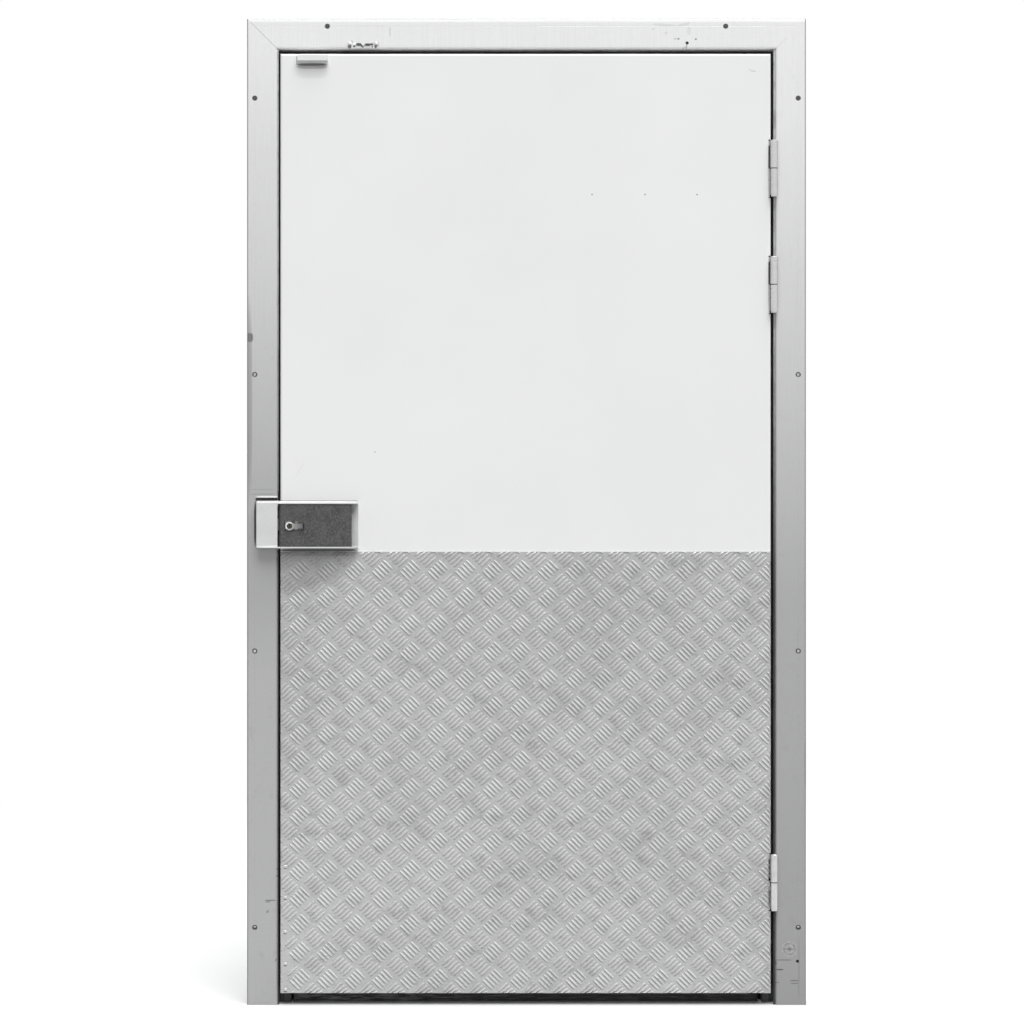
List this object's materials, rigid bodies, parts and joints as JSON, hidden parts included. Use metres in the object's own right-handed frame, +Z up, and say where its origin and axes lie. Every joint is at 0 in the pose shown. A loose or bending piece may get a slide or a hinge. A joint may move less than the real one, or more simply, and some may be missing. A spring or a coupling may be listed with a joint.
{
  "type": "hinged cold room door with frame",
  "caption": "Insulated hinged cold room door leaf in a three-sided frame, with a pull paddle and key bolt, inner release, lift-off hinges, tread kick plate, seal and floor sweep.",
  "frame": {"origin": "on the floor, midway between the jambs, in the middle of the wall's thickness, which is the middle of the bounding box", "axes": "+X to the right seen from the warm side, +Y through the wall into the cold room, +Z up"},
  "size_m": [1.19, 0.152, 2.1],
  "materials": {
    "plate_steel": "zinc plated",
    "contact_white": "white moulded plastic",
    "bar_aluminium": "mill finish",
    "cylinder_nickel": "nickel plated, dulled",
    "seal_rubber": "soft dull black",
    "screw_steel": "stainless, turned",
    "liner_pvc": "dull black extruded plastic",
    "frame_aluminium": "satin anodised, slightly soiled towards the floor",
    "hinge_steel": "satin stainless",
    "pin_steel": "greased steel",
    "washer_nylon": "white nylon",
    "strip_steel": "zinc plated strip",
    "cam_steel": "sintered steel",
    "plug_brass": "worn",
    "tread_aluminium": "bright rolled tread plate, scuffed",
    "leaf_white": "white coated sheet, smooth, light scratches",
    "edge_pvc": "light grey extruded plastic",
    "foam": "rigid foam",
    "bolt_steel": "zinc plated",
    "housing_grey": "light grey coated casting, satin",
    "paddle_black": "dark grained, rubbed and mottled",
    "trim_white": "white coated sheet",
    "guide_black": "black moulded plastic",
    "knob_black": "black moulded plastic, satin",
    "spring_steel": "plain spring wire",
    "sweep_rubber": "dull black with dusty streaks",
    "base_white": "white moulded plastic, torn and dirty"
  },
  "bodies": {
    "frame": {"corner_cleat_left": "bar_aluminium", "corner_cleat_right": "bar_aluminium", "frame_fixing_screws": "screw_steel", "frame_hardware_screws": "screw_steel", "frame_liner_head": "liner_pvc", "frame_liner_left": "liner_pvc", "frame_liner_right": "liner_pvc", "frame_profile_head": "frame_aluminium", "frame_profile_left": "frame_aluminium", "frame_profile_right": "frame_aluminium", "hinge_frame_leaf_bottom": "hinge_steel", "hinge_frame_leaf_middle": "hinge_steel", "hinge_frame_leaf_top": "hinge_steel", "hinge_pin_bottom": "pin_steel", "hinge_pin_middle": "pin_steel", "hinge_pin_top": "pin_steel", "hinge_washer_bottom": "washer_nylon", "hinge_washer_middle": "washer_nylon", "hinge_washer_top": "washer_nylon", "keeper_plate": "plate_steel", "keeper_strip_head": "strip_steel", "keeper_strip_left": "strip_steel", "keeper_strip_right": "strip_steel", "rear_trim_head": "trim_white", "rear_trim_left": "trim_white", "rear_trim_right": "trim_white", "rear_trim_screws": "screw_steel", "switch_base_remains": "base_white", "switch_base_screws": "screw_steel"},
    "leaf": {"bolt_guide": "plate_steel", "contact_magnet": "contact_white", "cylinder_body": "cylinder_nickel", "door_gasket": "seal_rubber", "hinge_door_leaf_bottom": "hinge_steel", "hinge_door_leaf_middle": "hinge_steel", "hinge_door_leaf_top": "hinge_steel", "kick_plate": "tread_aluminium", "kick_plate_screws": "screw_steel", "leaf_back_skin": "leaf_white", "leaf_bottom_rail": "edge_pvc", "leaf_core": "foam", "leaf_edge_profile_head": "edge_pvc", "leaf_edge_profile_left": "edge_pvc", "leaf_edge_profile_right": "edge_pvc", "leaf_front_skin": "leaf_white", "leaf_hardware_screws": "screw_steel", "lock_back_plate": "plate_steel", "lock_housing": "housing_grey", "paddle_pin": "pin_steel", "release_guide": "guide_black", "release_spring": "spring_steel", "sweep_bar": "bar_aluminium", "sweep_rubber": "sweep_rubber"},
    "paddle": {"paddle": "paddle_black"},
    "key": {"key_plug": "plug_brass", "key_cam": "cam_steel"},
    "bolt": {"lock_bolt": "bolt_steel"},
    "release": {"release_rod": "pin_steel", "release_knob": "knob_black"}
  },
  "joints": [
    {"name": "door_swing", "type": "hinge", "parent": "frame", "child": "leaf", "pos_m": [0.5265, -0.0535, 1.021], "axis": [0, 0, 1], "range_deg": [0, 175]},
    {"name": "paddle_pull", "type": "hinge", "parent": "leaf", "child": "paddle", "pos_m": [-0.5182, -0.064, 1.021], "axis": [0, 0, -1], "range_deg": [0, 28], "stiffness_Nm_per_rad": 2, "springref_deg": -11.46},
    {"name": "release_push", "type": "slide", "parent": "leaf", "child": "release", "axis": [0, -1, 0], "range_m": [0, 0.0243], "deforming": ["release_spring"]},
    {"name": "key_turn", "type": "hinge", "parent": "leaf", "child": "key", "pos_m": [-0.502, -0.06, 1.0197], "axis": [0, -1, 0], "range_deg": [0, 90]},
    {"name": "bolt_slide", "type": "slide", "parent": "leaf", "child": "bolt", "axis": [-1, 0, 0], "range_m": [0, 0.01414]}
  ],
  "couplings": [
    {"joint": "release_push", "follows": "paddle_pull", "m_per_rad": 0.0495},
    {"joint": "key_turn", "follows": "bolt_slide", "rad_per_m": 111.07}
  ]
}
